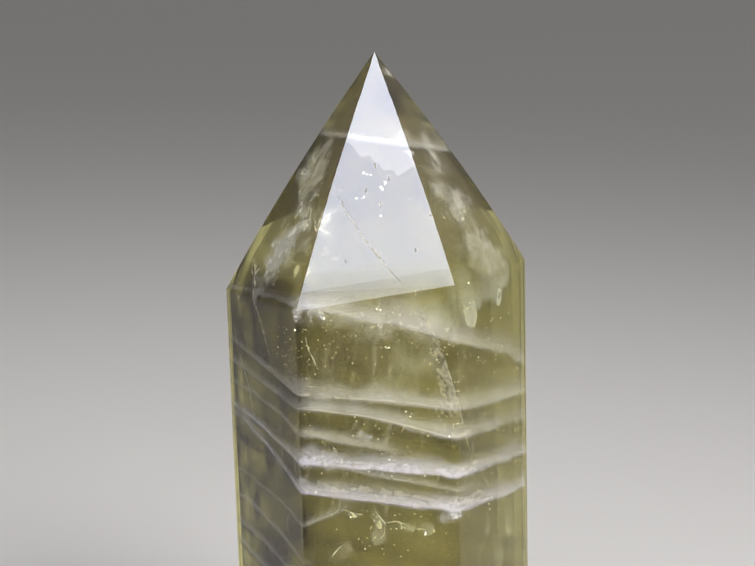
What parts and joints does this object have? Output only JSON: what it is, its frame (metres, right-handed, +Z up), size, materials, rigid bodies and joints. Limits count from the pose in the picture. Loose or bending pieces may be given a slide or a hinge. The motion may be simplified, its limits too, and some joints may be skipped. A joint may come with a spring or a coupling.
{
  "type": "polished citrine crystal point",
  "caption": "Free-standing polished citrine point: a clear olive-yellow hexagonal column under a faceted tip, with white growth veils sealed inside, on a flat cut base.",
  "frame": {"origin": "middle of the bounding box's bottom face, on the flat base", "axes": "+Z up along the column to the tip; -Y out of the broad front face"},
  "size_m": [0.0598, 0.0522, 0.1559],
  "materials": {
    "citrine": "polished clear quartz, olive yellow",
    "veil": "white milky growth veils and healed fractures sealed inside"
  },
  "bodies": {
    "root": {"crystal_point": "citrine"}
  },
  "joints": []
}
